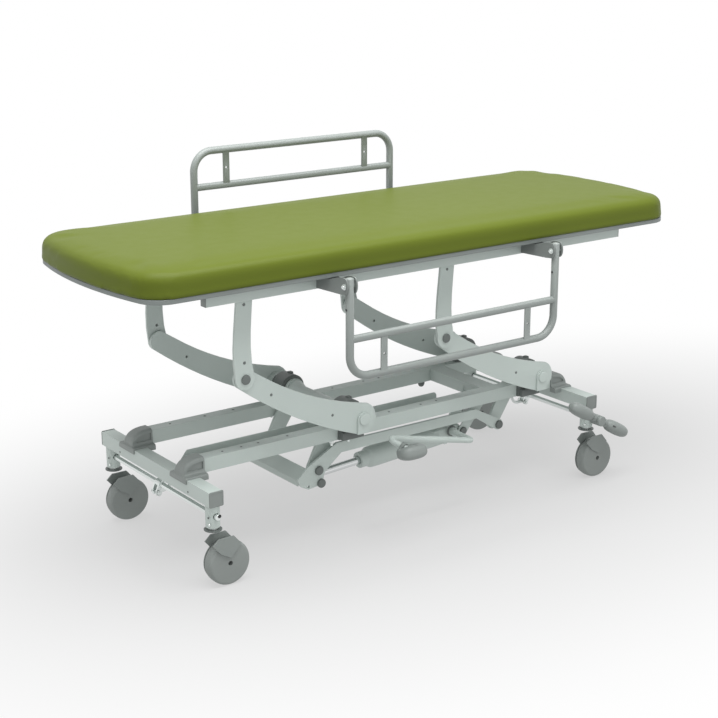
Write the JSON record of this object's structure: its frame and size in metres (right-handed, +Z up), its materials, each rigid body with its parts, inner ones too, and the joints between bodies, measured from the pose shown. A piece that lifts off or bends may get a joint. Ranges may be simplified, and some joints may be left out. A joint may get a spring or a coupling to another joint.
{
  "type": "stretcher trolley",
  "caption": "Height-adjustable padded stretcher trolley on castors, with a foot-pumped parallelogram lift, rocker brake pedal and drop-down side rails.",
  "frame": {"origin": "on the floor under the middle of the mattress", "axes": "+X along the bed towards the brake pedal end, +Y towards the far side (away from the pump pedal), +Z up"},
  "size_m": [1.89, 0.804, 1.0446],
  "materials": {
    "frame_paint": "satin",
    "rail_paint": "satin",
    "grey_plastic": "satin",
    "tyre": "matte",
    "chrome": "polished",
    "zinc": "satin",
    "board": "satin",
    "vinyl": "satin"
  },
  "bodies": {
    "base": {"base_channel_near": "frame_paint", "base_channel_far": "frame_paint", "inner_tray": "frame_paint", "cross_tube_left": "frame_paint", "cross_tube_right": "frame_paint", "base_cross_member": "frame_paint", "corner_cover_near_left": "grey_plastic", "corner_cover_near_right": "grey_plastic", "corner_cover_far_left": "grey_plastic", "corner_cover_far_right": "grey_plastic", "bearing_housing_near_left": "grey_plastic", "bearing_housing_near_right": "grey_plastic", "bearing_housing_far_left": "grey_plastic", "bearing_housing_far_right": "grey_plastic"},
    "castor_near_left": {"castor_fork_near_left": "grey_plastic"},
    "wheel_near_left": {"castor_wheel_near_left": "tyre"},
    "castor_near_right": {"castor_fork_near_right": "grey_plastic"},
    "wheel_near_right": {"castor_wheel_near_right": "tyre"},
    "castor_far_left": {"castor_fork_far_left": "grey_plastic"},
    "wheel_far_left": {"castor_wheel_far_left": "tyre"},
    "castor_far_right": {"castor_fork_far_right": "grey_plastic"},
    "wheel_far_right": {"castor_wheel_far_right": "tyre"},
    "brake_right": {"brake_shaft_right": "zinc", "brake_pedal": "grey_plastic"},
    "brake_left": {"brake_shaft_left": "zinc"},
    "brake_link": {"brake_rod": "zinc"},
    "left_arms": {"torsion_tube_left": "frame_paint", "arm_near_left": "frame_paint", "arm_far_left": "frame_paint"},
    "right_arms": {"torsion_tube_right": "frame_paint", "arm_near_right": "frame_paint", "arm_far_right": "frame_paint"},
    "top_frame": {"bed_board": "board", "mattress": "vinyl", "top_rail_near": "frame_paint", "top_rail_far": "frame_paint", "top_cross_member_left": "frame_paint", "top_cross_member_right": "frame_paint", "drop_leg_near_left": "frame_paint", "drop_leg_near_right": "frame_paint", "drop_leg_far_left": "frame_paint", "drop_leg_far_right": "frame_paint", "guard_bracket_near_left": "rail_paint", "guard_bracket_near_right": "rail_paint", "guard_bracket_far_left": "rail_paint", "guard_bracket_far_right": "rail_paint"},
    "tie_bars": {"tie_bar_near": "frame_paint", "tie_plate_far": "frame_paint", "tie_cross_piece": "frame_paint", "ram_rod": "chrome"},
    "pump": {"pump_body": "frame_paint"},
    "pump_lever": {"pump_lever": "frame_paint", "pump_pedal": "grey_plastic"},
    "side_rail_near": {"side_rail_near": "rail_paint"},
    "lock_plunger_near": {"lock_plunger_near": "grey_plastic"},
    "side_rail_far": {"side_rail_far": "rail_paint"},
    "lock_plunger_far": {"lock_plunger_far": "grey_plastic"}
  },
  "joints": [
    {"name": "castor_swivel_near_left", "type": "hinge", "parent": "base", "child": "castor_near_left", "pos_m": [-0.723, -0.277, 0.1], "axis": [0, 0, 1], "continuous": true},
    {"name": "wheel_spin_near_left", "type": "hinge", "parent": "castor_near_left", "child": "wheel_near_left", "pos_m": [-0.683, -0.277, 0.0625], "axis": [0, 1, 0], "continuous": true},
    {"name": "castor_swivel_near_right", "type": "hinge", "parent": "base", "child": "castor_near_right", "pos_m": [0.628, -0.277, 0.1], "axis": [0, 0, 1], "continuous": true},
    {"name": "wheel_spin_near_right", "type": "hinge", "parent": "castor_near_right", "child": "wheel_near_right", "pos_m": [0.668, -0.277, 0.0625], "axis": [0, 1, 0], "continuous": true},
    {"name": "castor_swivel_far_left", "type": "hinge", "parent": "base", "child": "castor_far_left", "pos_m": [-0.723, 0.277, 0.1], "axis": [0, 0, 1], "continuous": true},
    {"name": "wheel_spin_far_left", "type": "hinge", "parent": "castor_far_left", "child": "wheel_far_left", "pos_m": [-0.683, 0.277, 0.0625], "axis": [0, 1, 0], "continuous": true},
    {"name": "castor_swivel_far_right", "type": "hinge", "parent": "base", "child": "castor_far_right", "pos_m": [0.628, 0.277, 0.1], "axis": [0, 0, 1], "continuous": true},
    {"name": "wheel_spin_far_right", "type": "hinge", "parent": "castor_far_right", "child": "wheel_far_right", "pos_m": [0.668, 0.277, 0.0625], "axis": [0, 1, 0], "continuous": true},
    {"name": "brake_rocker", "type": "hinge", "parent": "base", "child": "brake_right", "pos_m": [0.628, 0, 0.205], "axis": [0, 1, 0], "range_deg": [-58.8, 0]},
    {"name": "brake_left_turn", "type": "hinge", "parent": "base", "child": "brake_left", "pos_m": [-0.723, 0, 0.205], "axis": [0, 1, 0], "range_deg": [-59, 0.2]},
    {"name": "brake_link_level", "type": "hinge", "parent": "brake_right", "child": "brake_link", "pos_m": [0.61573, 0, 0.18322], "axis": [0, 1, 0], "range_deg": [-0.2, 59]},
    {"name": "lift", "type": "hinge", "parent": "base", "child": "left_arms", "pos_m": [-0.201, 0, 0.349], "axis": [0, 1, 0], "range_deg": [-37, 7.5]},
    {"name": "right_arm_turn", "type": "hinge", "parent": "base", "child": "right_arms", "pos_m": [0.476, 0, 0.349], "axis": [0, 1, 0], "range_deg": [-37.5, 8]},
    {"name": "top_level", "type": "hinge", "parent": "left_arms", "child": "top_frame", "pos_m": [-0.588, 0, 0.537], "axis": [0, 1, 0], "range_deg": [-8, 37.5]},
    {"name": "tie_level", "type": "hinge", "parent": "left_arms", "child": "tie_bars", "pos_m": [-0.2936, 0, 0.19], "axis": [0, 1, 0], "range_deg": [-8, 37.5]},
    {"name": "ram_stroke", "type": "slide", "parent": "tie_bars", "child": "pump", "axis": [0.9984, 0, 0.0558], "range_m": [-0.113, 0.025]},
    {"name": "pump_pedal_press", "type": "hinge", "parent": "pump", "child": "pump_lever", "pos_m": [0.22, -0.078, 0.194], "axis": [0, 1, 0], "range_deg": [-22, 0], "stiffness_Nm_per_rad": 8, "springref_deg": 51.57},
    {"name": "side_rail_near_swing", "type": "hinge", "parent": "top_frame", "child": "side_rail_near", "pos_m": [0, -0.389, 0.785], "axis": [-1, 0, 0], "range_deg": [0, 180]},
    {"name": "lock_plunger_near_pull", "type": "slide", "parent": "top_frame", "child": "lock_plunger_near", "axis": [1, 0, 0], "range_m": [0, 0.008], "stiffness_N_per_m": 900, "springref_m": -0.006},
    {"name": "side_rail_far_swing", "type": "hinge", "parent": "top_frame", "child": "side_rail_far", "pos_m": [0, 0.389, 0.785], "axis": [-1, 0, 0], "range_deg": [0, 180]},
    {"name": "lock_plunger_far_pull", "type": "slide", "parent": "top_frame", "child": "lock_plunger_far", "axis": [1, 0, 0], "range_m": [0, 0.008], "stiffness_N_per_m": 900, "springref_m": -0.006}
  ],
  "couplings": [
    {"joint": "brake_left_turn", "follows": "brake_rocker", "ratio": 1},
    {"joint": "brake_link_level", "follows": "brake_rocker", "ratio": -1},
    {"joint": "right_arm_turn", "follows": "lift", "ratio": 1},
    {"joint": "top_level", "follows": "lift", "ratio": -1},
    {"joint": "tie_level", "follows": "lift", "ratio": -1},
    {"joint": "ram_stroke", "follows": "lift", "m_per_rad": 0.172}
  ]
}
